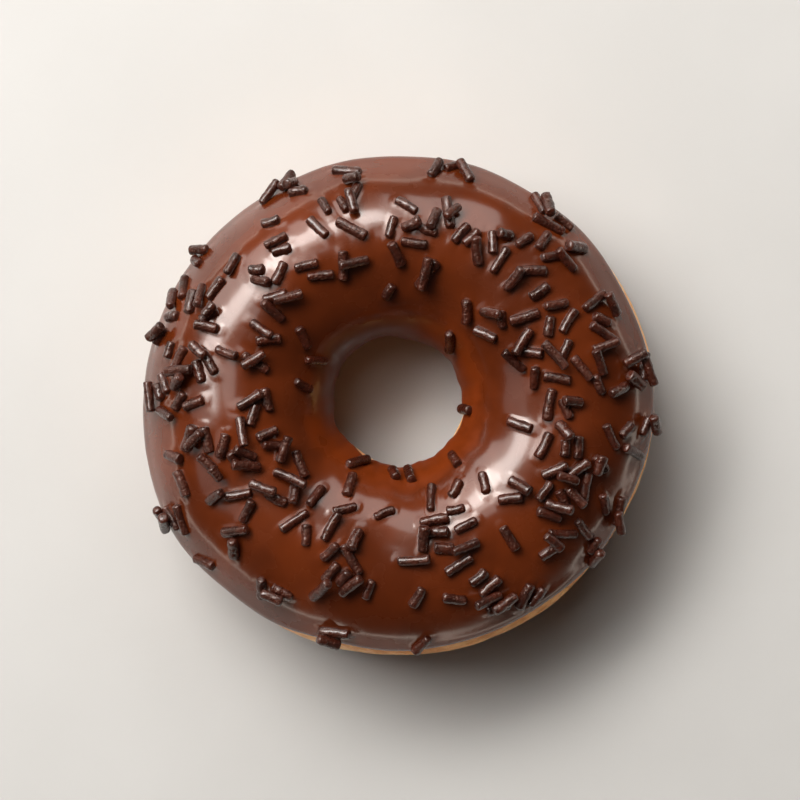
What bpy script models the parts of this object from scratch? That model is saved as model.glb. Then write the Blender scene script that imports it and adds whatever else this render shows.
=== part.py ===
"""A ring doughnut with chocolate icing and chocolate sprinkles, at its real size.

The dough is a fried yeast ring that rests on a flat base. The icing is a shell over its upper half,
and the sprinkles are fused to the icing that they lie in. The origin is the middle of the base, +Z is up.

Two angles name a place on the ring: the azimuth runs round the hole, anticlockwise from +X, and the
section runs round the ring's cross-section, from 0 at the rim over a quarter turn at the crest to a
half turn at the hole's narrowest place.
"""

import math
import random
from collections import namedtuple

import bmesh
import bpy
import numpy as np
from mathutils import Matrix

MM = 0.001

# Driving sizes of the dough
RIM_RADIUS = 45.6 * MM
HOLE_RADIUS = 12.2 * MM
EQUATOR_HEIGHT = 14.6 * MM
CROWN_HEIGHT = 16.4 * MM
BELLY_DEPTH = 15.4 * MM
CROWN_SQUARENESS = 1.95
BELLY_SQUARENESS = 2.35

# How the ring departs from a true one: (lobes round the ring, size, azimuth of a lobe in degrees)
RIM_WAVES = ((1, 0.19 * MM, 39), (2, 0.47 * MM, 22), (4, 0.19 * MM, 12), (5, 0.06 * MM, 48))
HOLE_WAVES = ((1, 1.95 * MM, 107), (2, 0.32 * MM, 123), (3, 0.28 * MM, 45), (4, 0.13 * MM, 17))
CROWN_WAVES = ((1, 0.35 * MM, 150), (2, 0.30 * MM, 70), (3, 0.25 * MM, 20))
# Shallow swells of the surface: (lobes round the ring, lobes round the section, size, turn in degrees)
SWELLS = ((5, 2, 0.16 * MM, 20), (7, -3, 0.11 * MM, 140), (11, 4, 0.07 * MM, 250), (3, 5, 0.07 * MM, 80))

# Icing. Its thickness is counted from the dough and includes the clearance under it.
ICING_THICKNESS = 1.30 * MM
ICING_CLEARANCE = 0.30 * MM
ICING_EDGE = 0.30 * MM
FACET_SAG = 0.18 * MM
LIP_WIDTH = 1.5 * MM
BEAD_SIZE = 0.22 * MM
MEAN_REACH = 17.0 * MM
# It thins by this share of its thickness down the wall of the hole, over the last of its way.
HOLE_THINNING = 0.42
THINNING_REACH = 6.0 * MM
# Where it ends, as section angles in degrees, and how the ends waver round the ring
RIM_END = 20
RIM_END_WAVES = ((1, 7.3, 333), (2, 4.8, 89), (3, 1.3, 24), (4, 0.8, 10), (9, 0.9, 20), (13, 0.7, 5))
HOLE_END = 181
HOLE_END_WAVES = ((1, 17.0, 103), (2, 6.5, 106), (3, 5.0, 46), (4, 2.0, 56), (5, 2.1, 68), (9, 1.5, 12))

# Sprinkles
SPRINKLE_RADIUS = 0.90 * MM
SPRINKLE_LENGTH = 4.8 * MM
SPRINKLE_SHORTEST = 3.0 * MM
SPRINKLE_LONGEST = 6.4 * MM
SPRINKLE_RISE = 0.36 * MM
SPRINKLE_CLEARANCE = 0.35 * MM
LENGTH_SPREAD = 0.8 * MM
RADIUS_SPREAD = 0.06 * MM
CLUMP_SPREAD = 1.15 * MM
EDGE_MARGIN = 2.9 * MM
PRESSED_SHARE = 0.90
STEEPEST = 0.6
LEVEL_HABIT = 0.02 * MM
HIGHEST = 2.2 * MM
THROWS = 4
SEED = 53

# Where the sprinkles fell thickest: (azimuth in degrees, distance from the axis in mm, sprinkles)
CLUMPS = (
    (88, 33, 6), (77, 34.5, 3), (82, 24.5, 2), (62, 34, 7), (39, 31, 9), (44, 39, 3), (41, 23, 2),
    (55, 21, 1), (53, 15, 1), (23, 39.5, 5), (22, 30.5, 2), (24, 23.5, 2), (11, 36, 4), (5, 29, 5),
    (8, 44.5, 5), (77, 44, 3), (50, 44, 5), (102, 40.5, 3), (117, 44.5, 4), (108, 34.5, 5), (124, 35.5, 7),
    (111, 28.5, 3), (137, 32, 4), (144, 39.5, 3), (154, 37, 3), (155, 43.5, 6), (144, 45, 2), (166, 38, 6),
    (159, 29, 5), (175, 42, 7), (178, 26, 3), (96, 21, 1), (144, 21.5, 1), (151, 17.5, 1), (167, 18, 1),
    (189, 37.5, 4), (196, 33.5, 4), (194, 26, 6), (209, 20.5, 1), (199, 41, 1), (209, 29, 4), (217, 24, 3),
    (228, 26, 3), (214, 35, 4), (204, 44.5, 4), (218, 44.5, 1), (237, 16.5, 1), (232, 12.5, 1), (244, 21.5, 2),
    (261, 19, 1), (250, 26, 3), (249, 33, 4), (260, 32.5, 1), (236, 40, 3), (253, 43, 2), (279, 12.5, 2),
    (317, 13.5, 1), (289, 17, 1), (318, 20, 1), (301, 22, 3), (286, 22, 3), (291, 27, 3), (275, 27, 1),
    (310, 30, 1), (328, 26, 2), (352, 21.5, 1), (351, 28, 4), (343, 33, 6), (351, 40.5, 3), (356, 44.5, 2),
    (333, 33, 6), (322, 35.5, 4), (332, 43, 4), (324, 44, 2), (303, 43, 2), (275, 42.5, 1), (275, 33.5, 1),
    (293, 33.5, 4), (296, 38, 3), (358, 12, 1),
)  # fmt: skip

# Facets
RING_FACETS = 52
DOUGH_FACETS = 22
ICING_TOP_ROWS = 13
ICING_UNDER_ROWS = 11
ROD_SIDES = 6
ROD_SWELL = 1.1

Sprinkle = namedtuple("Sprinkle", "middle axis upward half_length radius")


def waves(azimuth, table):
    """The sum of a table's waves at an azimuth in radians, in the unit of their sizes."""
    return sum(size * np.cos(lobes * (azimuth - math.radians(crest))) for lobes, size, crest in table)


def swells(azimuth, section):
    return sum(
        size * np.sin(round_ring * azimuth + round_section * section + math.radians(turn))
        for round_ring, round_section, size, turn in SWELLS
    )


def dough_point(azimuth, section):
    """Points of the dough's surface, one for each pair of angles in radians."""
    azimuth, section = np.broadcast_arrays(azimuth, section)
    inner = HOLE_RADIUS + waves(azimuth, HOLE_WAVES)
    outer = RIM_RADIUS + waves(azimuth, RIM_WAVES)
    middle, half_width = (inner + outer) / 2, (outer - inner) / 2
    across, up = np.cos(section), np.sin(section)
    tall = np.where(up > 0, CROWN_HEIGHT + waves(azimuth, CROWN_WAVES), BELLY_DEPTH)
    square = np.where(up > 0, CROWN_SQUARENESS, BELLY_SQUARENESS)
    reach = (np.abs(across / half_width) ** square + np.abs(up / tall) ** square) ** (-1 / square)
    reach = reach + swells(azimuth, section)
    radius = middle + reach * across
    height = np.maximum(EQUATOR_HEIGHT + reach * up, 0)
    return np.stack([radius * np.cos(azimuth), radius * np.sin(azimuth), height], axis=-1)


def unit(vectors):
    return vectors / np.linalg.norm(vectors, axis=-1, keepdims=True)


def surface_steps(azimuth, section):
    """How the dough's surface runs there, for each radian of azimuth and of section."""
    step = 1e-3
    round_ring = dough_point(azimuth + step, section) - dough_point(azimuth - step, section)
    round_section = dough_point(azimuth, section + step) - dough_point(azimuth, section - step)
    return round_ring / (2 * step), round_section / (2 * step)


def offset_point(azimuth, section, distance):
    """Points that far above the dough's surface."""
    outward = unit(np.cross(*surface_steps(azimuth, section)))
    return dough_point(azimuth, section) + outward * np.asarray(distance)[..., None]


def rim_end(azimuth):
    """The section angle at which the icing ends on the outside."""
    return np.radians(RIM_END + waves(azimuth, RIM_END_WAVES))


def hole_end(azimuth):
    """The section angle at which the icing ends in the hole."""
    return np.radians(HOLE_END + waves(azimuth, HOLE_END_WAVES))


def icing_height(azimuth, section):
    """How far the icing's surface stands above the dough: a round lip at each end, with a bead behind it."""
    from_rim = MEAN_REACH * (section - rim_end(azimuth))
    from_hole = MEAN_REACH * (hole_end(azimuth) - section)
    from_end = np.minimum(from_rim, from_hole)
    lip = np.clip(from_end / LIP_WIDTH, 0, 1)
    bead = BEAD_SIZE * np.exp(-(((from_end - LIP_WIDTH) / LIP_WIDTH) ** 2))
    thinned = 1 - HOLE_THINNING * np.exp(-((from_hole / THINNING_REACH) ** 2))
    return (ICING_THICKNESS + bead) * thinned * np.sqrt(1 - (1 - lip) ** 2)


def icing_point(azimuth, section):
    return offset_point(azimuth, section, icing_height(azimuth, section))


def within_ends(azimuth, section):
    """The section angle, moved clear of the icing's ends where it lies beyond one."""
    margin = EDGE_MARGIN / MEAN_REACH
    return float(np.clip(section, rim_end(azimuth) + margin, hole_end(azimuth) - margin))


def section_at(azimuth, distance):
    """The section angle at which the icing's top lies that far from the axis, found by halving."""
    low, high = rim_end(azimuth), hole_end(azimuth)
    for _ in range(20):
        half = (low + high) / 2
        if np.hypot(*icing_point(azimuth, half)[:2]) > distance:
            low = half
        else:
            high = half
    return within_ends(azimuth, low)


def neighbour_heights(places, normal, radius, laid):
    """How high over each place a sprinkle of that radius clears those laid before."""
    heights = np.full(len(places), -np.inf)
    for other in laid:
        if np.linalg.norm(other.middle - places[len(places) // 2]) > SPRINKLE_LONGEST:
            continue
        along = np.linspace(-other.half_length, other.half_length, 7)
        balls = other.middle + other.axis * along[:, None]
        apart = balls[:, None] - places[None]
        high = apart @ normal
        sideways = (apart**2).sum(axis=-1) - high**2
        room = (PRESSED_SHARE * (radius + other.radius)) ** 2 - sideways
        clear = np.where(room > 0, high + np.sqrt(np.maximum(room, 0)), -np.inf)
        heights = np.maximum(heights, clear.max(axis=0))
    return heights


def settle(azimuth, section, bearing, half_length, radius, laid):
    """The sprinkle at rest there on the icing and its neighbours, or None if it would lie too high."""
    foot = icing_point(azimuth, section)
    round_ring, round_section = surface_steps(azimuth, section)
    normal = unit(np.cross(round_ring, round_section))
    axis = math.cos(bearing) * unit(round_ring) + math.sin(bearing) * unit(round_section)
    along = np.linspace(-half_length, half_length, 9)
    azimuths = azimuth + along * math.cos(bearing) / np.linalg.norm(round_ring)
    sections = section + along * math.sin(bearing) / np.linalg.norm(round_section)
    on_icing = (icing_point(azimuths, sections) - foot) @ normal + SPRINKLE_RISE
    off_dough = (dough_point(azimuths, sections) - foot) @ normal + SPRINKLE_CLEARANCE + radius * ROD_SWELL
    on_others = neighbour_heights(foot + axis * along[:, None], normal, radius, laid)
    heights = np.maximum(np.maximum(on_icing, off_dough), on_others)
    # It tips until its middle lies as low as the supports under it let it.
    slopes = np.linspace(-STEEPEST, STEEPEST, 31)
    rests = (heights - slopes[:, None] * along).max(axis=1)
    chosen = np.argmin(rests + LEVEL_HABIT * np.abs(slopes))
    rest, slope = rests[chosen], slopes[chosen]
    if rest > HIGHEST:
        return None
    middle = foot + normal * rest
    return Sprinkle(middle, unit(axis + normal * slope), unit(normal - axis * slope), half_length, radius)


def drop_one(draw, clump_azimuth, clump_section, count, laid):
    """The lowest lying of several throws of one sprinkle at a clump, or None if none comes to rest."""
    length = min(max(draw.gauss(SPRINKLE_LENGTH, LENGTH_SPREAD), SPRINKLE_SHORTEST), SPRINKLE_LONGEST)
    radius = draw.gauss(SPRINKLE_RADIUS, RADIUS_SPREAD)
    spread = CLUMP_SPREAD * math.sqrt(count - 1)
    axis_distance = np.hypot(*icing_point(clump_azimuth, clump_section)[:2])
    lowest, chosen = np.inf, None
    for _ in range(THROWS):
        azimuth = clump_azimuth + draw.gauss(0, spread) / axis_distance
        section = clump_section + draw.gauss(0, spread) / MEAN_REACH
        bearing = draw.uniform(0, math.pi)
        if section != within_ends(azimuth, section):
            continue
        sprinkle = settle(azimuth, section, bearing, length / 2, radius, laid)
        if sprinkle is None:
            continue
        height = np.linalg.norm(sprinkle.middle - dough_point(azimuth, section))
        if height < lowest:
            lowest, chosen = height, sprinkle
    return chosen


def lay_sprinkles():
    """Every sprinkle, clump by clump, in the order in which they came to rest."""
    draw = random.Random(SEED)
    laid = []
    for degrees, distance_mm, count in CLUMPS:
        clump_azimuth = math.radians(degrees)
        clump_section = section_at(clump_azimuth, distance_mm * MM)
        for _ in range(count):
            sprinkle = drop_one(draw, clump_azimuth, clump_section, count, laid)
            if sprinkle is not None:
                laid.append(sprinkle)
    return laid


def clear_scene():
    for obj in list(bpy.data.objects):
        bpy.data.objects.remove(obj)


def plain_material(name, colour, roughness):
    material = bpy.data.materials.new(name)
    material.use_nodes = True
    shader = material.node_tree.nodes["Principled BSDF"]
    shader.inputs["Base Color"].default_value = (*colour, 1)
    shader.inputs["Roughness"].default_value = roughness
    shader.inputs["Metallic"].default_value = 0
    return material


def ring_object(name, loops, material):
    """A closed ring skinned over cross-sections, each a closed loop of the same number of points."""
    turns, points = loops.shape[:2]
    faces = []
    for i in range(turns):
        for j in range(points):
            i_next, j_next = (i + 1) % turns, (j + 1) % points
            here, onward = i * points, i_next * points
            faces.append((here + j, onward + j, onward + j_next, here + j_next))
    mesh = bpy.data.meshes.new(name)
    mesh.from_pydata([tuple(p) for p in loops.reshape(-1, 3)], [], faces)
    mesh.materials.append(material)
    mesh.shade_smooth()
    obj = bpy.data.objects.new(name, mesh)
    bpy.context.scene.collection.objects.link(obj)
    return obj


def ring_azimuths():
    return np.arange(RING_FACETS)[:, None] * (2 * math.pi / RING_FACETS)


def make_dough():
    """The ring of dough, with its flat base on z = 0."""
    sections = np.arange(DOUGH_FACETS)[None, :] * (2 * math.pi / DOUGH_FACETS)
    crust = plain_material("fried_dough", (0.56, 0.27, 0.08), 0.55)
    return ring_object("dough", dough_point(ring_azimuths(), sections), crust)


def make_icing_shell():
    """The icing without its sprinkles: its top from the rim's end to the hole's, and back underneath."""
    azimuths = ring_azimuths()
    start, stop = rim_end(azimuths), hole_end(azimuths)
    share = np.linspace(0, 1, ICING_TOP_ROWS)[None, :]
    # Rows lie closer together near both ends, where the lip curls over.
    eased = share - 0.12 * np.sin(2 * math.pi * share)
    top = start + (stop - start) * eased
    # The underside's facets sag between their corners by no more than the clearance allows for.
    standoff = ICING_CLEARANCE + FACET_SAG
    lifted = np.maximum(icing_height(azimuths, top), standoff + ICING_EDGE)
    under = start + (stop - start) * np.linspace(1, 0, ICING_UNDER_ROWS)[None, :]
    loops = [offset_point(azimuths, top, lifted), offset_point(azimuths, under, standoff)]
    chocolate = plain_material("chocolate_icing", (0.19, 0.055, 0.018), 0.25)
    return ring_object("icing", np.concatenate(loops, axis=1), chocolate)


def rod_mesh():
    """A blunt rod of radius 1 and half length 1 along Z, with flats to its +Y and -Y sides."""
    solid = bmesh.new()
    corners = [2 * math.pi * side / ROD_SIDES for side in range(ROD_SIDES)]
    ends = [[solid.verts.new((math.cos(a), math.sin(a), end)) for a in corners] for end in (-1, 1)]
    for end in ends:
        solid.faces.new(end)
    for i in range(ROD_SIDES):
        j = (i + 1) % ROD_SIDES
        solid.faces.new((ends[0][i], ends[0][j], ends[1][j], ends[1][i]))
    bmesh.ops.recalc_face_normals(solid, faces=solid.faces)
    mesh = bpy.data.meshes.new("rod")
    solid.to_mesh(mesh)
    solid.free()
    return mesh


def rod_placement(sprinkle):
    """The matrix that lays the rod mesh where the sprinkle is, one of its flats facing up."""
    thick = sprinkle.radius * ROD_SWELL
    sideways = np.cross(sprinkle.upward, sprinkle.axis) * thick
    upward, along = sprinkle.upward * thick, sprinkle.axis * sprinkle.half_length
    rows = [[sideways[i], upward[i], along[i], sprinkle.middle[i]] for i in range(3)]
    return Matrix((*rows, (0, 0, 0, 1)))


def place_rods(sprinkles):
    """A collection with one rod for each sprinkle."""
    rods = bpy.data.collections.new("rods")
    bpy.context.scene.collection.children.link(rods)
    mesh = rod_mesh()
    for number, sprinkle in enumerate(sprinkles):
        rod = bpy.data.objects.new(f"rod_{number}", mesh)
        rod.matrix_world = rod_placement(sprinkle)
        rods.objects.link(rod)
    return rods


def keep_outer_skin(mesh):
    """Deletes every shell but the largest: sealed hollows between sprinkles, and loose scraps."""
    skin = bmesh.new()
    skin.from_mesh(mesh)
    waiting, shells = set(skin.verts), []
    while waiting:
        shell, front = set(), [waiting.pop()]
        while front:
            vertex = front.pop()
            shell.add(vertex)
            linked = {edge.other_vert(vertex) for edge in vertex.link_edges} & waiting
            waiting -= linked
            front += linked
        shells.append(shell)
    largest = max(shells, key=len)
    bmesh.ops.delete(skin, geom=[v for v in skin.verts if v not in largest], context="VERTS")
    skin.to_mesh(mesh)
    skin.free()


def fuse_sprinkles(icing, sprinkles):
    """Joins the rods and the icing shell into one solid."""
    rods = place_rods(sprinkles)
    join = icing.modifiers.new("sprinkles", "BOOLEAN")
    join.operation = "UNION"
    join.operand_type = "COLLECTION"
    join.collection = rods
    join.solver = "EXACT"
    graph = bpy.context.evaluated_depsgraph_get()
    fused = bpy.data.meshes.new_from_object(icing.evaluated_get(graph))
    icing.modifiers.clear()
    icing.data = fused
    for rod in list(rods.objects):
        bpy.data.objects.remove(rod)
    bpy.data.collections.remove(rods)
    keep_outer_skin(fused)
    fused.name = "icing"
    fused.set_sharp_from_angle(angle=math.radians(40))


def main():
    clear_scene()
    make_dough()
    fuse_sprinkles(make_icing_shell(), lay_sprinkles())


main()
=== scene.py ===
"""The looks of the chocolate iced ring doughnut: dough, icing and sprinkles as fine meshes, lit and framed.

Sizes are in metres. Two angles name a place on the ring, as in the solids: the azimuth runs round the
hole, anticlockwise from +X, and the section runs round the ring's cross-section, from 0 at the rim over
a quarter turn at the crest to a half turn at the hole's narrowest place.
"""

import math
import random
from collections import namedtuple

import bpy
import numpy as np
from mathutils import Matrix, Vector, noise


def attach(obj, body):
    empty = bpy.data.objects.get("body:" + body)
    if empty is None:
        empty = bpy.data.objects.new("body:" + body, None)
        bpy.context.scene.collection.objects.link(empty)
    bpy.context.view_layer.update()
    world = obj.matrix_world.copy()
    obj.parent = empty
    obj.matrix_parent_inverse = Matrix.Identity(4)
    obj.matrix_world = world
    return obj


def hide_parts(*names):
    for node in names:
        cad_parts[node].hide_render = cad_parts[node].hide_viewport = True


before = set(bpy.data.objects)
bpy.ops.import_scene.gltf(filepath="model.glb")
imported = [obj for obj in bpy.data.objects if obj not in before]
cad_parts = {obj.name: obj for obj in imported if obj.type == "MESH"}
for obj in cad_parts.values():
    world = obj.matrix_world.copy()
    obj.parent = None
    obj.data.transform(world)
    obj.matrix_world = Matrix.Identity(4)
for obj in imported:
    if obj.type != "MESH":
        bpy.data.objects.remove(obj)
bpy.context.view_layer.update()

MM = 0.001

# The dough's form, as in the solids
RIM_RADIUS = 45.6 * MM
HOLE_RADIUS = 12.2 * MM
EQUATOR_HEIGHT = 14.6 * MM
CROWN_HEIGHT = 16.4 * MM
BELLY_DEPTH = 15.4 * MM
CROWN_SQUARENESS = 1.95
BELLY_SQUARENESS = 2.35
# Waves: (lobes round the ring, size, azimuth of a lobe in degrees)
RIM_WAVES = ((1, 0.19 * MM, 39), (2, 0.47 * MM, 22), (4, 0.19 * MM, 12), (5, 0.06 * MM, 48))
HOLE_WAVES = ((1, 1.95 * MM, 107), (2, 0.32 * MM, 123), (3, 0.28 * MM, 45), (4, 0.13 * MM, 17))
CROWN_WAVES = ((1, 0.35 * MM, 150), (2, 0.30 * MM, 70), (3, 0.25 * MM, 20))
# Swells: (lobes round the ring, lobes round the section, size, turn in degrees)
SWELLS = ((5, 2, 0.16 * MM, 20), (7, -3, 0.11 * MM, 140), (11, 4, 0.07 * MM, 250), (3, 5, 0.07 * MM, 80))

# The icing's form, as in the solids
ICING_THICKNESS = 1.30 * MM
LIP_WIDTH = 1.5 * MM
BEAD_SIZE = 0.22 * MM
MEAN_REACH = 17.0 * MM
# It thins by this share of its thickness down the wall of the hole, over the last of its way.
HOLE_THINNING = 0.42
THINNING_REACH = 6.0 * MM
RIM_END = 20
RIM_END_WAVES = ((1, 7.3, 333), (2, 4.8, 89), (3, 1.3, 24), (4, 0.8, 10), (9, 0.9, 20), (13, 0.7, 5))
HOLE_END = 181
HOLE_END_WAVES = ((1, 17.0, 103), (2, 6.5, 106), (3, 5.0, 46), (4, 2.0, 56), (5, 2.1, 68), (9, 1.5, 12))

# The sprinkles, as in the solids
SPRINKLE_RADIUS = 0.90 * MM
SPRINKLE_LENGTH = 4.8 * MM
SPRINKLE_SHORTEST = 3.0 * MM
SPRINKLE_LONGEST = 6.4 * MM
SPRINKLE_RISE = 0.36 * MM
SPRINKLE_CLEARANCE = 0.35 * MM
LENGTH_SPREAD = 0.8 * MM
RADIUS_SPREAD = 0.06 * MM
CLUMP_SPREAD = 1.15 * MM
EDGE_MARGIN = 2.9 * MM
PRESSED_SHARE = 0.90
STEEPEST = 0.6
LEVEL_HABIT = 0.02 * MM
HIGHEST = 2.2 * MM
THROWS = 4
ROD_SWELL = 1.1
SEED = 53
# How finely a resting place is looked for
HALVINGS = 20
NEIGHBOUR_BALLS = 7
SUPPORTS = 9
SLOPES = 31
# Where they fell thickest: (azimuth in degrees, distance from the axis in mm, sprinkles)
CLUMPS = (
    (88, 33, 6), (77, 34.5, 3), (82, 24.5, 2), (62, 34, 7), (39, 31, 9), (44, 39, 3), (41, 23, 2),
    (55, 21, 1), (53, 15, 1), (23, 39.5, 5), (22, 30.5, 2), (24, 23.5, 2), (11, 36, 4), (5, 29, 5),
    (8, 44.5, 5), (77, 44, 3), (50, 44, 5), (102, 40.5, 3), (117, 44.5, 4), (108, 34.5, 5),
    (124, 35.5, 7), (111, 28.5, 3), (137, 32, 4), (144, 39.5, 3), (154, 37, 3), (155, 43.5, 6),
    (144, 45, 2), (166, 38, 6), (159, 29, 5), (175, 42, 7), (178, 26, 3), (96, 21, 1), (144, 21.5, 1),
    (151, 17.5, 1), (167, 18, 1), (189, 37.5, 4), (196, 33.5, 4), (194, 26, 6), (209, 20.5, 1),
    (199, 41, 1), (209, 29, 4), (217, 24, 3), (228, 26, 3), (214, 35, 4), (204, 44.5, 4),
    (218, 44.5, 1), (237, 16.5, 1), (232, 12.5, 1), (244, 21.5, 2), (261, 19, 1), (250, 26, 3),
    (249, 33, 4), (260, 32.5, 1), (236, 40, 3), (253, 43, 2), (279, 12.5, 2), (317, 13.5, 1),
    (289, 17, 1), (318, 20, 1), (301, 22, 3), (286, 22, 3), (291, 27, 3), (275, 27, 1), (310, 30, 1),
    (328, 26, 2), (352, 21.5, 1), (351, 28, 4), (343, 33, 6), (351, 40.5, 3), (356, 44.5, 2),
    (333, 33, 6), (322, 35.5, 4), (332, 43, 4), (324, 44, 2), (303, 43, 2), (275, 42.5, 1),
    (275, 33.5, 1), (293, 33.5, 4), (296, 38, 3), (358, 12, 1),
)  # fmt: skip

# The dough's fine mesh. Relief is given as (wavelength, size) pairs.
DOUGH_TURNS, DOUGH_ROWS = 440, 200
CRUST_WRINKLES = ((9 * MM, 0.16 * MM), (3.4 * MM, 0.09 * MM), (1.4 * MM, 0.05 * MM))
CRUST_SUNK = 0.16 * MM
# The wrinkles fade out below this height, so that the base stays flat.
WRINKLES_FADE = 2 * MM

# The icing's fine mesh
ICING_TURNS, ICING_ROWS, ICING_UNDER_ROWS = 570, 150, 8
ROW_CROWDING = 0.13
ICING_SUNK = 0.25 * MM
ICING_RIPPLES = ((13 * MM, 0.20 * MM), (5 * MM, 0.05 * MM))
MENISCUS_RISE = 0.09 * MM
MENISCUS_WIDTH = 0.28 * MM
# Past a sprinkle's end by this much, its meniscus is no longer looked for.
MENISCUS_LIMIT = 3 * MM
# Ridges down the wall of the hole: cells of noise for each radian, size, and how far up they reach
RUN_COUNT = 5.5
RUN_SIZE = 0.50 * MM
RUN_REACH = 8 * MM

# The sprinkles' fine mesh. Caps' heights and lumps' sizes are shares of a sprinkle's radius.
ROD_SIDES = 14
ROD_ROWS = 11
CAP_ROWS = 5
CAP_BLUNTNESS = 0.62
CAP_HEIGHTS = (0.35, 0.65)
ROD_BEND = 0.12 * MM
ROD_TAPER = 0.06
# Lumps: (lumps for each radius of length, size)
ROD_LUMPS = ((1.1, 0.15), (2.4, 0.08))
LUMP_PLACES = 99

# Where the icing thins on the wall of the hole, as wavering distances from the middle of the hole
HOLE_MIDDLE = (-0.5 * MM, 1.5 * MM, 0)
THIN_FROM = 17.5 * MM
THIN_TO = 13.0 * MM
THIN_WAVER = 1.6 * MM

# Colours, as linear red, green and blue
ICING_DARK, ICING_LIGHT = (0.074, 0.0125, 0.0024), (0.110, 0.0190, 0.0036)
ICING_THIN = (0.135, 0.021, 0.0024)
SPRINKLE_DARK, SPRINKLE_LIGHT = (0.017, 0.0030, 0.0016), (0.058, 0.0112, 0.0052)
FLOOR_DARK, FLOOR_LIGHT = (0.50, 0.483, 0.460), (0.52, 0.503, 0.480)
# The crust's, from its base up: (height as a share of CRUST_TOP, eased at both ends, colour)
CRUST_TOP = 30 * MM
CRUST_WAVER = 1.5 * MM
CRUST_COLOURS = (
    (0.00, (0.27, 0.090, 0.020)),
    (0.20, (0.44, 0.165, 0.036)),
    (0.34, (0.62, 0.280, 0.075)),
    (0.42, (0.88, 0.530, 0.250)),
    (0.49, (0.96, 0.640, 0.340)),
    (0.55, (1.00, 0.560, 0.210)),
    (0.72, (0.98, 0.470, 0.130)),
)

# The picture: the camera looks straight down, its right along +X
VIEW_WIDTH = 145.7 * MM
VIEW_DISTANCE = 0.62
VIEW_CENTRE = (-0.09 * MM, 1.46 * MM)
SENSOR_WIDTH = 36.0

# The lights: (name, azimuth and elevation in degrees, side in metres, radiance with white at 1)
LIGHT_DISTANCE = 1.0
LIGHT_COLOUR = (1, 0.99, 0.975)
LIGHTS = (
    ("key_wide", 132, 44, 0.86, 3.6),
    ("key_right", 112, 50, 0.30, 10.5),
    ("key_heart", 134, 49, 0.28, 15.0),
    ("key_left", 158, 50, 0.30, 9.0),
    ("side", 80, 38, 0.55, 3.0),
    ("far_side", 190, 44, 0.45, 0.8),
    ("top", 134, 70, 0.36, 2.4),
)
# The room's glow at the horizon, and the height in the sky, as a sine, above which it is only dim
HORIZON_GLOW = 5.0
ROOM_GLOW = 0.03
HORIZON_TOP = 0.04
ROOM_COLOUR = (1, 0.90, 0.79)
FLOOR_REACH = 1.5

Sprinkle = namedtuple("Sprinkle", "middle axis upward half_length radius")


# Form


def waves(azimuth, table):
    """The sum of a table's waves at an azimuth in radians, in the unit of their sizes."""
    return sum(size * np.cos(lobes * (azimuth - math.radians(crest))) for lobes, size, crest in table)


def swells(azimuth, section):
    """How far the shallow swells stand out at a pair of angles in radians."""
    return sum(
        size * np.sin(round_ring * azimuth + round_section * section + math.radians(turn))
        for round_ring, round_section, size, turn in SWELLS
    )


def dough_point(azimuth, section):
    """Points of the dough's surface, one for each pair of angles in radians."""
    azimuth, section = np.broadcast_arrays(azimuth, section)
    inner = HOLE_RADIUS + waves(azimuth, HOLE_WAVES)
    outer = RIM_RADIUS + waves(azimuth, RIM_WAVES)
    middle, half_width = (inner + outer) / 2, (outer - inner) / 2
    across, up = np.cos(section), np.sin(section)
    tall = np.where(up > 0, CROWN_HEIGHT + waves(azimuth, CROWN_WAVES), BELLY_DEPTH)
    square = np.where(up > 0, CROWN_SQUARENESS, BELLY_SQUARENESS)
    reach = (np.abs(across / half_width) ** square + np.abs(up / tall) ** square) ** (-1 / square)
    reach = reach + swells(azimuth, section)
    radius = middle + reach * across
    height = np.maximum(EQUATOR_HEIGHT + reach * up, 0)
    return np.stack([radius * np.cos(azimuth), radius * np.sin(azimuth), height], axis=-1)


def unit(vectors):
    return vectors / np.linalg.norm(vectors, axis=-1, keepdims=True)


def surface_steps(azimuth, section):
    """How the dough's surface runs there, for each radian of azimuth and of section."""
    step = 1e-3
    round_ring = dough_point(azimuth + step, section) - dough_point(azimuth - step, section)
    round_section = dough_point(azimuth, section + step) - dough_point(azimuth, section - step)
    return round_ring / (2 * step), round_section / (2 * step)


def outward(azimuth, section):
    """The dough's outward normals there."""
    return unit(np.cross(*surface_steps(azimuth, section)))


def offset_point(azimuth, section, distance):
    """Points that far above the dough's surface."""
    return dough_point(azimuth, section) + outward(azimuth, section) * np.asarray(distance)[..., None]


def rim_end(azimuth):
    """The section angle at which the icing ends on the outside."""
    return np.radians(RIM_END + waves(azimuth, RIM_END_WAVES))


def hole_end(azimuth):
    """The section angle at which the icing ends in the hole."""
    return np.radians(HOLE_END + waves(azimuth, HOLE_END_WAVES))


def icing_height(azimuth, section):
    """How far the icing's top stands above the dough: a round lip at each end, and a bead behind it."""
    from_rim = MEAN_REACH * (section - rim_end(azimuth))
    from_hole = MEAN_REACH * (hole_end(azimuth) - section)
    from_end = np.minimum(from_rim, from_hole)
    lip = np.clip(from_end / LIP_WIDTH, 0, 1)
    bead = BEAD_SIZE * np.exp(-(((from_end - LIP_WIDTH) / LIP_WIDTH) ** 2))
    thinned = 1 - HOLE_THINNING * np.exp(-((from_hole / THINNING_REACH) ** 2))
    return (ICING_THICKNESS + bead) * thinned * np.sqrt(1 - (1 - lip) ** 2)


def icing_point(azimuth, section):
    return offset_point(azimuth, section, icing_height(azimuth, section))


# Sprinkles, laid by the same rule and the same draws as in the solids


def within_ends(azimuth, section):
    """The section angle, moved clear of the icing's ends where it lies beyond one."""
    margin = EDGE_MARGIN / MEAN_REACH
    return float(np.clip(section, rim_end(azimuth) + margin, hole_end(azimuth) - margin))


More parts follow.
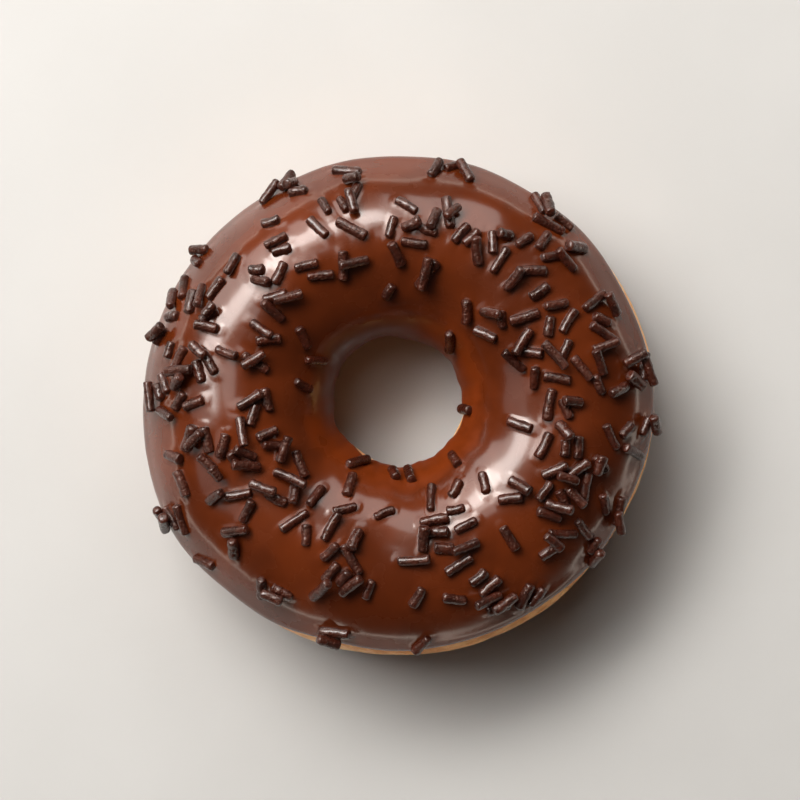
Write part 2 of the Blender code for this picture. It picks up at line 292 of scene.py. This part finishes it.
def section_at(azimuth, distance):
    """The section angle at which the icing's top lies that far from the axis, found by halving."""
    low, high = rim_end(azimuth), hole_end(azimuth)
    for _ in range(HALVINGS):
        half = (low + high) / 2
        if np.hypot(*icing_point(azimuth, half)[:2]) > distance:
            low = half
        else:
            high = half
    return within_ends(azimuth, low)


def neighbour_heights(places, normal, radius, laid):
    """How high over each place a sprinkle of that radius clears those laid before."""
    heights = np.full(len(places), -np.inf)
    for other in laid:
        if np.linalg.norm(other.middle - places[len(places) // 2]) > SPRINKLE_LONGEST:
            continue
        along = np.linspace(-other.half_length, other.half_length, NEIGHBOUR_BALLS)
        balls = other.middle + other.axis * along[:, None]
        apart = balls[:, None] - places[None]
        high = apart @ normal
        sideways = (apart**2).sum(axis=-1) - high**2
        room = (PRESSED_SHARE * (radius + other.radius)) ** 2 - sideways
        clear = np.where(room > 0, high + np.sqrt(np.maximum(room, 0)), -np.inf)
        heights = np.maximum(heights, clear.max(axis=0))
    return heights


def settle(azimuth, section, bearing, half_length, radius, laid):
    """The sprinkle at rest there on the icing and its neighbours, or None if it would lie too high."""
    foot = icing_point(azimuth, section)
    round_ring, round_section = surface_steps(azimuth, section)
    normal = unit(np.cross(round_ring, round_section))
    axis = math.cos(bearing) * unit(round_ring) + math.sin(bearing) * unit(round_section)
    along = np.linspace(-half_length, half_length, SUPPORTS)
    azimuths = azimuth + along * math.cos(bearing) / np.linalg.norm(round_ring)
    sections = section + along * math.sin(bearing) / np.linalg.norm(round_section)
    on_icing = (icing_point(azimuths, sections) - foot) @ normal + SPRINKLE_RISE
    off_dough = (dough_point(azimuths, sections) - foot) @ normal + SPRINKLE_CLEARANCE + radius * ROD_SWELL
    on_others = neighbour_heights(foot + axis * along[:, None], normal, radius, laid)
    heights = np.maximum(np.maximum(on_icing, off_dough), on_others)
    # It tips until its middle lies as low as the supports under it let it.
    slopes = np.linspace(-STEEPEST, STEEPEST, SLOPES)
    rests = (heights - slopes[:, None] * along).max(axis=1)
    chosen = np.argmin(rests + LEVEL_HABIT * np.abs(slopes))
    rest, slope = rests[chosen], slopes[chosen]
    if rest > HIGHEST:
        return None
    middle = foot + normal * rest
    return Sprinkle(middle, unit(axis + normal * slope), unit(normal - axis * slope), half_length, radius)


def drop_one(draw, clump_azimuth, clump_section, count, laid):
    """The lowest lying of several throws of one sprinkle at a clump, or None if none comes to rest."""
    length = min(max(draw.gauss(SPRINKLE_LENGTH, LENGTH_SPREAD), SPRINKLE_SHORTEST), SPRINKLE_LONGEST)
    radius = draw.gauss(SPRINKLE_RADIUS, RADIUS_SPREAD)
    spread = CLUMP_SPREAD * math.sqrt(count - 1)
    axis_distance = np.hypot(*icing_point(clump_azimuth, clump_section)[:2])
    lowest, chosen = np.inf, None
    for _ in range(THROWS):
        azimuth = clump_azimuth + draw.gauss(0, spread) / axis_distance
        section = clump_section + draw.gauss(0, spread) / MEAN_REACH
        bearing = draw.uniform(0, math.pi)
        if section != within_ends(azimuth, section):
            continue
        sprinkle = settle(azimuth, section, bearing, length / 2, radius, laid)
        if sprinkle is None:
            continue
        height = np.linalg.norm(sprinkle.middle - dough_point(azimuth, section))
        if height < lowest:
            lowest, chosen = height, sprinkle
    return chosen


def lay_sprinkles():
    """Every sprinkle, clump by clump, in the order in which they came to rest."""
    draw = random.Random(SEED)
    laid = []
    for degrees, distance_mm, count in CLUMPS:
        clump_azimuth = math.radians(degrees)
        clump_section = section_at(clump_azimuth, distance_mm * MM)
        for _ in range(count):
            sprinkle = drop_one(draw, clump_azimuth, clump_section, count, laid)
            if sprinkle is not None:
                laid.append(sprinkle)
    return laid


# Meshes


def mesh_object(name, points, faces, material):
    """A smooth shaded mesh in the scene."""
    mesh = bpy.data.meshes.new(name)
    mesh.from_pydata(points, [], faces)
    mesh.validate()
    mesh.materials.append(material)
    mesh.shade_smooth()
    obj = bpy.data.objects.new(name, mesh)
    bpy.context.scene.collection.objects.link(obj)
    return obj


def ring_faces(turns, points):
    """Quads of a closed ring skinned over cross-sections of that many points each."""
    i, j = np.meshgrid(np.arange(turns), np.arange(points), indexing="ij")
    here, onward = i * points, (i + 1) % turns * points
    j_next = (j + 1) % points
    return np.stack([here + j, onward + j, onward + j_next, here + j_next], axis=-1).reshape(-1, 4)


def relief(points, octaves):
    """The height of noise at each point, summed over octaves of (wavelength, size)."""
    heights = np.zeros(len(points))
    for wavelength, size in octaves:
        scaled = points / wavelength
        heights += size * np.array([noise.noise(Vector(p)) for p in scaled])
    return heights


def ring_azimuths(turns):
    """A column of azimuths evenly round the ring."""
    return np.arange(turns)[:, None] * (2 * math.pi / turns)


def make_dough(material):
    """The ring of dough, its crust wrinkled, and flat where it rests."""
    azimuths = ring_azimuths(DOUGH_TURNS)
    sections = np.arange(DOUGH_ROWS)[None, :] * (2 * math.pi / DOUGH_ROWS)
    points = dough_point(azimuths, sections).reshape(-1, 3)
    normals = outward(azimuths, sections).reshape(-1, 3)
    height = relief(points, CRUST_WRINKLES) - CRUST_SUNK
    points += normals * height[:, None] * np.clip(points[:, 2:] / WRINKLES_FADE, 0, 1)
    return mesh_object("dough_ring", points, ring_faces(DOUGH_TURNS, DOUGH_ROWS), material)


def meniscus(points, sprinkles):
    """How far the icing is drawn up at each point by the sprinkles standing in it."""
    rise = np.zeros(len(points))
    for sprinkle in sprinkles:
        apart = points - sprinkle.middle
        near = np.flatnonzero((apart**2).sum(axis=1) < (sprinkle.half_length + MENISCUS_LIMIT) ** 2)
        along = np.clip(apart[near] @ sprinkle.axis, -sprinkle.half_length, sprinkle.half_length)
        gap = np.linalg.norm(apart[near] - along[:, None] * sprinkle.axis, axis=1) - sprinkle.radius
        drawn = MENISCUS_RISE * np.exp(-((np.maximum(gap, 0) / MENISCUS_WIDTH) ** 2))
        rise[near] = np.maximum(rise[near], drawn)
    return rise


def runs(azimuths, sections):
    """How far the ridges stand out where the icing ran down the wall of the hole."""
    turns = RUN_COUNT * np.stack([np.cos(azimuths), np.sin(azimuths)], axis=-1).reshape(-1, 2)
    ridges = np.array([noise.noise(Vector((x, y, 0))) for x, y in turns])[:, None]
    from_hole = MEAN_REACH * (hole_end(azimuths) - sections)
    return RUN_SIZE * ridges * np.exp(-((from_hole / RUN_REACH) ** 2))


def make_icing(material, sprinkles):
    """The icing as a closed shell whose underside and edges are sunk a little into the dough."""
    azimuths = ring_azimuths(ICING_TURNS)
    start, stop = rim_end(azimuths), hole_end(azimuths)
    share = np.linspace(0, 1, ICING_ROWS)[None, :]
    # Rows lie closer together near both ends, where the lip curls over.
    eased = share - ROW_CROWDING * np.sin(2 * math.pi * share)
    top = start + (stop - start) * eased
    lip = np.clip(icing_height(azimuths, top) / ICING_THICKNESS, 0, 1)
    height = icing_height(azimuths, top) - ICING_SUNK * (1 - lip)
    under = start + (stop - start) * np.linspace(1, 0, ICING_UNDER_ROWS + 2)[None, 1:-1]
    points = offset_point(azimuths, top, height)
    top_points = points.reshape(-1, 3)
    raised = relief(top_points, ICING_RIPPLES) + meniscus(top_points, sprinkles)
    raised = (raised.reshape(lip.shape) + runs(azimuths, top)) * lip
    points += outward(azimuths, top) * raised[..., None]
    loops = np.concatenate([points, offset_point(azimuths, under, -ICING_SUNK)], axis=1)
    faces = ring_faces(ICING_TURNS, ICING_ROWS + ICING_UNDER_ROWS)
    return mesh_object("chocolate_icing", loops.reshape(-1, 3), faces, material)


def rod_profile():
    """For each ring of a rod's points: its place along the straight part, along the cap, and its width."""
    caps = [math.radians(90 * (row + 0.5) / CAP_ROWS) for row in range(CAP_ROWS)]
    low = [(-1, -math.cos(a), math.sin(a) ** CAP_BLUNTNESS) for a in caps]
    body = [(t, 0, 1) for t in np.linspace(-1, 1, ROD_ROWS)]
    high = [(1, -place, width) for _, place, width in reversed(low)]
    return low + body + high


def rod_points(sprinkle, draw):
    """Points of one sprinkle, lumpy, blunt and a little bent: a tip, rings from end to end, a tip."""
    cap = sprinkle.radius * draw.uniform(*CAP_HEIGHTS)
    straight = sprinkle.half_length - cap
    bend = draw.uniform(-ROD_BEND, ROD_BEND)
    lump_place = Vector([draw.uniform(-LUMP_PLACES, LUMP_PLACES) for _ in range(3)])
    taper = draw.uniform(-ROD_TAPER, ROD_TAPER)
    sideways = np.cross(sprinkle.upward, sprinkle.axis)
    points = [(0, 0, -sprinkle.half_length)]
    for share, cap_share, width in rod_profile():
        along = share * straight + cap_share * cap
        for side in range(ROD_SIDES):
            angle = 2 * math.pi * side / ROD_SIDES
            spot = Vector((math.cos(angle) * width, math.sin(angle) * width, along / sprinkle.radius))
            lumps = sum(height * noise.noise(spot * count + lump_place) for count, height in ROD_LUMPS)
            size = sprinkle.radius * width * (1 + lumps) * (1 + taper * share)
            across = math.cos(angle) * size + bend * (1 - share**2)
            points.append((across, math.sin(angle) * size, along))
    points.append((0, 0, sprinkle.half_length))
    rod_axes = np.array([sideways, sprinkle.upward, sprinkle.axis])
    return np.array(points) @ rod_axes + sprinkle.middle


def rod_faces(first):
    """Faces of one rod whose points start at that index."""
    rings = ROD_ROWS + 2 * CAP_ROWS
    last = first + 1 + rings * ROD_SIDES
    faces = []
    for side in range(ROD_SIDES):
        onward = (side + 1) % ROD_SIDES
        faces.append((first, first + 1 + onward, first + 1 + side))
        faces.append((last, last - ROD_SIDES + side, last - ROD_SIDES + onward))
        for ring in range(rings - 1):
            low = first + 1 + ring * ROD_SIDES
            high = low + ROD_SIDES
            faces.append((low + side, low + onward, high + onward, high + side))
    return faces


def make_sprinkles(material, sprinkles):
    """Every sprinkle in one mesh."""
    draw = random.Random(SEED + 1)
    points, faces = [], []
    for sprinkle in sprinkles:
        faces += rod_faces(len(points))
        points += [tuple(p) for p in rod_points(sprinkle, draw)]
    return mesh_object("chocolate_sprinkles", points, faces, material)


# Materials


def feed(tree, socket, value):
    """Gives a socket a value, or links it to another node's output. Colours come without their alpha."""
    if isinstance(value, bpy.types.NodeSocket):
        tree.links.new(value, socket)
    elif socket.type == "RGBA":
        socket.default_value = (*value, 1)
    else:
        socket.default_value = value


def new_material(name, settings):
    """A material, its node tree and its shader, with the settings on the shader's own sockets."""
    material = bpy.data.materials.new(name)
    material.use_nodes = True
    tree = material.node_tree
    shader = tree.nodes["Principled BSDF"]
    for socket, value in settings.items():
        feed(tree, shader.inputs[socket], value)
    return material, tree, shader


def add_node(tree, kind, inputs=None, **settings):
    """A node with its properties set and its inputs fed."""
    node = tree.nodes.new(kind)
    for name, value in settings.items():
        setattr(node, name, value)
    for name, value in (inputs or {}).items():
        feed(tree, node.inputs[name], value)
    return node


def object_place(tree):
    """Places on an object, in metres."""
    return add_node(tree, "ShaderNodeTexCoord").outputs["Object"]


def noise_value(tree, place, wavelength, detail=3.0, roughness=0.5):
    """Noise that lies about one half."""
    inputs = {"Vector": place, "Scale": 1 / wavelength, "Detail": detail, "Roughness": roughness}
    return add_node(tree, "ShaderNodeTexNoise", inputs).outputs["Fac"]


def ranged(tree, value, low, high, to_low=0.0, to_high=1.0):
    """A value moved from one range to another, easing in and out and going no further."""
    inputs = {"Value": value, "From Min": low, "From Max": high, "To Min": to_low, "To Max": to_high}
    return add_node(tree, "ShaderNodeMapRange", inputs, interpolation_type="SMOOTHSTEP").outputs["Result"]


def noise_between(tree, place, wavelength, low=0.0, high=1.0, spread=0.2, **kind):
    """Noise that runs from low to high, and reaches them at that spread from its middle."""
    return ranged(tree, noise_value(tree, place, wavelength, **kind), 0.5 - spread, 0.5 + spread, low, high)


def calculated(tree, operation, *values):
    """The result of a math node."""
    return add_node(tree, "ShaderNodeMath", dict(enumerate(values)), operation=operation).outputs["Value"]


def mixed(tree, share, first, second):
    """A mix of two colours. Their sockets share a name with others, so they go by number."""
    share_socket, first_socket, second_socket, result_socket = 0, 6, 7, 2
    inputs = {share_socket: share, first_socket: first, second_socket: second}
    return add_node(tree, "ShaderNodeMix", inputs, data_type="RGBA").outputs[result_socket]


def ramped(tree, value, stops):
    """A colour that runs through stops of (value, colour)."""
    ramp = add_node(tree, "ShaderNodeValToRGB", {"Fac": value})
    elements = ramp.color_ramp.elements
    while len(elements) < len(stops):
        elements.new(0.5)
    for element, (position, colour) in zip(elements, stops):
        element.position = position
        element.color = (*colour, 1)
    return ramp.outputs["Color"]


def bumped(tree, height, distance, strength, normal=None):
    """The normal of a bump map, on top of another normal if one is given."""
    inputs = {"Height": height, "Distance": distance, "Strength": strength}
    if normal is not None:
        inputs["Normal"] = normal
    return add_node(tree, "ShaderNodeBump", inputs).outputs["Normal"]


def thinness(tree, place):
    """How thin the icing has run: from 0 outside the hole to 1 low on its wall."""
    level = add_node(tree, "ShaderNodeVectorMath", {0: place, 1: (1, 1, 0)}, operation="MULTIPLY")
    ends = {0: level.outputs["Vector"], 1: HOLE_MIDDLE}
    from_hole = add_node(tree, "ShaderNodeVectorMath", ends, operation="DISTANCE").outputs["Value"]
    waver = noise_between(tree, place, 5 * MM, -THIN_WAVER, THIN_WAVER)
    return ranged(tree, calculated(tree, "ADD", from_hole, waver), THIN_FROM, THIN_TO)


def icing_material():
    """Glossy milk chocolate, redder and duller where it thins down the wall of the hole."""
    gloss = {"IOR": 1.4, "Specular Tint": (1, 0.80, 0.68), "Coat Roughness": 0.13, "Coat IOR": 1.5}
    material, tree, shader = new_material("icing_gloss", gloss)
    place = object_place(tree)
    thin = thinness(tree, place)
    mottled = mixed(tree, noise_between(tree, place, 14 * MM, spread=0.15), ICING_DARK, ICING_LIGHT)
    feed(tree, shader.inputs["Base Color"], mixed(tree, thin, mottled, ICING_THIN))
    feed(tree, shader.inputs["Coat Weight"], ranged(tree, thin, 0, 1, to_low=0.75, to_high=0.05))
    polish = noise_between(tree, place, 6 * MM, low=0.20, high=0.30)
    thin_dullness = 0.16
    feed(tree, shader.inputs["Roughness"], calculated(tree, "MULTIPLY_ADD", thin, thin_dullness, polish))
    dents = noise_value(tree, place, 2.2 * MM, detail=2.0)
    grain = noise_value(tree, place, 0.35 * MM, detail=2.0)
    dented = bumped(tree, dents, distance=0.05 * MM, strength=0.35)
    feed(tree, shader.inputs["Normal"], bumped(tree, grain, 0.01 * MM, strength=0.25, normal=dented))
    return material


def sprinkle_material():
    """Dark chocolate, pitted and unevenly polished, in slightly different browns."""
    gloss = {"IOR": 1.4, "Specular Tint": (1, 0.72, 0.58), "Coat Weight": 0.65, "Coat Roughness": 0.08}
    material, tree, shader = new_material("sprinkle_chocolate", gloss)
    place = object_place(tree)
    tone = noise_between(tree, place, 3.5 * MM, detail=4.0, roughness=0.75)
    feed(tree, shader.inputs["Base Color"], mixed(tree, tone, SPRINKLE_DARK, SPRINKLE_LIGHT))
    feed(tree, shader.inputs["Roughness"], noise_between(tree, place, 0.9 * MM, low=0.25, high=0.48))
    pits = noise_value(tree, place, 0.45 * MM, detail=2.0)
    feed(tree, shader.inputs["Normal"], bumped(tree, pits, distance=0.30 * MM, strength=1.0))
    return material


def dough_material():
    """Fried crust: a cream collar round the middle, golden above it and browner towards the base."""
    feel = {
        "IOR": 1.4,
        "Subsurface Weight": 0.12,
        "Subsurface Scale": 2 * MM,
        "Subsurface Radius": (1.0, 0.5, 0.2),
        "Coat Weight": 0.12,
    }
    material, tree, shader = new_material("fried_crust", feel)
    place = object_place(tree)
    height = add_node(tree, "ShaderNodeSeparateXYZ", {"Vector": place}).outputs["Z"]
    waver = noise_between(tree, place, 16 * MM, -CRUST_WAVER, CRUST_WAVER, spread=0.3, detail=4.0)
    level = ranged(tree, calculated(tree, "ADD", height, waver), 0, CRUST_TOP)
    crust = ramped(tree, level, CRUST_COLOURS)
    browner = {"Color": crust, "Hue": 0.483, "Saturation": 1.12, "Value": 0.74}
    browned = add_node(tree, "ShaderNodeHueSaturation", browner).outputs["Color"]
    spots = ranged(tree, noise_value(tree, place, 3 * MM, detail=6.0, roughness=0.68), 0.35, 0.7)
    feed(tree, shader.inputs["Base Color"], mixed(tree, spots, crust, browned))
    feed(tree, shader.inputs["Roughness"], ranged(tree, spots, 0, 1, to_low=0.42, to_high=0.6))
    wrinkles = noise_value(tree, place, 1.3 * MM, detail=5.0, roughness=0.65)
    feed(tree, shader.inputs["Normal"], bumped(tree, wrinkles, distance=0.22 * MM, strength=0.8))
    return material


def floor_material():
    """A plain pale floor, very faintly clouded."""
    material, tree, shader = new_material("pale_floor", {"Roughness": 0.6})
    tone = noise_between(tree, object_place(tree), 40 * MM)
    feed(tree, shader.inputs["Base Color"], mixed(tree, tone, FLOOR_DARK, FLOOR_LIGHT))
    return material


# Stage


def make_floor():
    """A level square under the doughnut."""
    signs = ((-1, -1), (1, -1), (1, 1), (-1, 1))
    corners = [(x * FLOOR_REACH, y * FLOOR_REACH, 0) for x, y in signs]
    floor = mesh_object("floor", corners, [(0, 1, 2, 3)], floor_material())


def aim(obj, target):
    """Turns an object's -Z to a point."""
    direction = Vector(target) - obj.location
    obj.rotation_mode = "QUATERNION"
    obj.rotation_quaternion = direction.to_track_quat("-Z", "Y")


def soft_light(name, azimuth, elevation, size, radiance):
    """A square area light that faces the doughnut from that direction."""
    light = bpy.data.lights.new(name, "AREA")
    light.size = size
    # The power in watts at which a square of that size has that radiance
    light.energy = radiance * math.pi * size**2
    light.color = LIGHT_COLOUR
    lamp = bpy.data.objects.new(name, light)
    across, up = math.cos(math.radians(elevation)), math.sin(math.radians(elevation))
    turn = math.radians(azimuth)
    lamp.location = Vector((across * math.cos(turn), across * math.sin(turn), up)) * LIGHT_DISTANCE
    bpy.context.scene.collection.objects.link(lamp)
    aim(lamp, (0, 0, EQUATOR_HEIGHT))


def studio_world():
    """A dim room whose light gathers near the horizon."""
    world = bpy.data.worlds.new("studio")
    world.use_nodes = True
    tree = world.node_tree
    background = tree.nodes["Background"]
    direction = add_node(tree, "ShaderNodeTexCoord").outputs["Generated"]
    upward = add_node(tree, "ShaderNodeSeparateXYZ", {"Vector": direction}).outputs["Z"]
    glow = ranged(tree, upward, HORIZON_TOP, 0, ROOM_GLOW, HORIZON_GLOW)
    feed(tree, background.inputs["Strength"], glow)
    feed(tree, background.inputs["Color"], ROOM_COLOUR)
    bpy.context.scene.world = world


def make_lights():
    """The lamps and the room round them."""
    for lamp in LIGHTS:
        soft_light(*lamp)
    studio_world()


def make_camera():
    """Looks straight down, far enough off for the photograph's flat perspective."""
    lens = bpy.data.cameras.new("camera")
    lens.sensor_width = SENSOR_WIDTH
    lens.lens = SENSOR_WIDTH * VIEW_DISTANCE / VIEW_WIDTH
    camera = bpy.data.objects.new("camera", lens)
    camera.location = (*VIEW_CENTRE, EQUATOR_HEIGHT + VIEW_DISTANCE)
    bpy.context.scene.collection.objects.link(camera)
    bpy.context.scene.camera = camera


def make_doughnut():
    """The visible pieces, each in place of its node, whose own part is hidden."""
    sprinkles = lay_sprinkles()
    dough = make_dough(dough_material())
    icing = make_icing(icing_material(), sprinkles)
    rods = make_sprinkles(sprinkle_material(), sprinkles)
    for piece, node in ((dough, "dough"), (icing, "icing"), (rods, "icing")):
        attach(piece, "root")
        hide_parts(node)


make_doughnut()
make_floor()
make_lights()
make_camera()
bpy.context.scene.view_settings.view_transform = "Standard"
